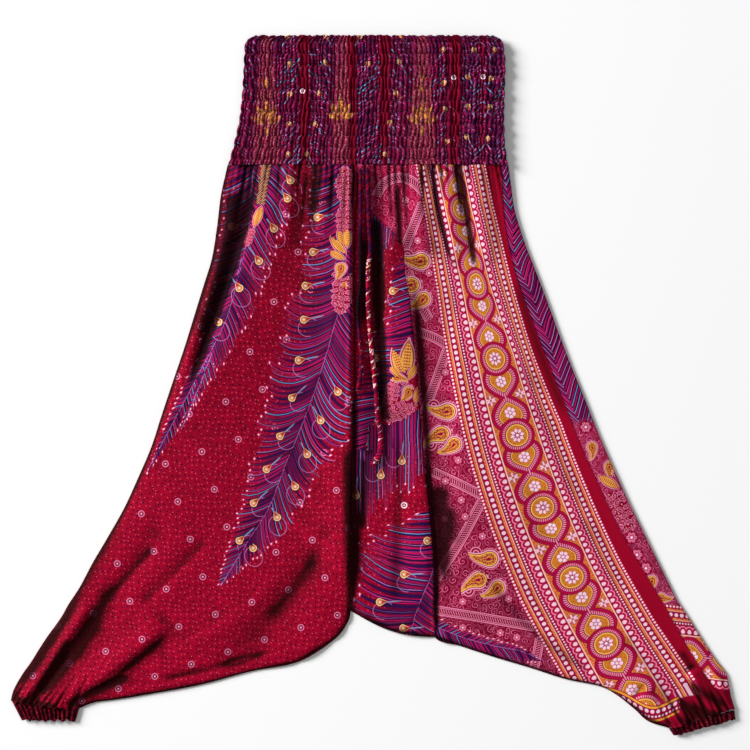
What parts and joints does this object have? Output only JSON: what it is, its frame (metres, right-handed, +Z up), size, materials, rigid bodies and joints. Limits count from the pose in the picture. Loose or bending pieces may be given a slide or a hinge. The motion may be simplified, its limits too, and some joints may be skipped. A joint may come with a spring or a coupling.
{
  "type": "harem pants",
  "caption": "Harem pants laid flat, with a wide smocked waistband, a low crotch, wide legs that narrow to elastic ankle cuffs, and twisted cloth ties at the front.",
  "frame": {"origin": "on the surface that the garment lies on, under the middle of its outline", "axes": "+X towards the wearer's left side, +Y towards the waist, +Z up from the surface, out of the garment's front"},
  "size_m": [0.9655, 0.934, 0.0183],
  "materials": {
    "smocked_cloth": "matt printed rayon, smocked with shirring elastic",
    "dotted_cloth": "matt printed rayon, crimson with dots and plumes",
    "border_cloth": "matt printed rayon, paisley ground with a wide border",
    "plume_cloth": "matt printed rayon, plume pattern",
    "cuff_cloth": "matt rayon, gathered on elastic",
    "tie_cloth": "matt printed rayon, rolled and twisted"
  },
  "bodies": {
    "root": {"waistband_front": "smocked_cloth", "waistband_back": "smocked_cloth", "leg_right_front": "dotted_cloth", "leg_right_back": "dotted_cloth", "leg_left_front": "border_cloth", "leg_left_back": "plume_cloth", "cuff_right": "cuff_cloth", "cuff_left": "cuff_cloth", "drawstring_long": "tie_cloth", "drawstring_short": "tie_cloth"}
  },
  "joints": []
}
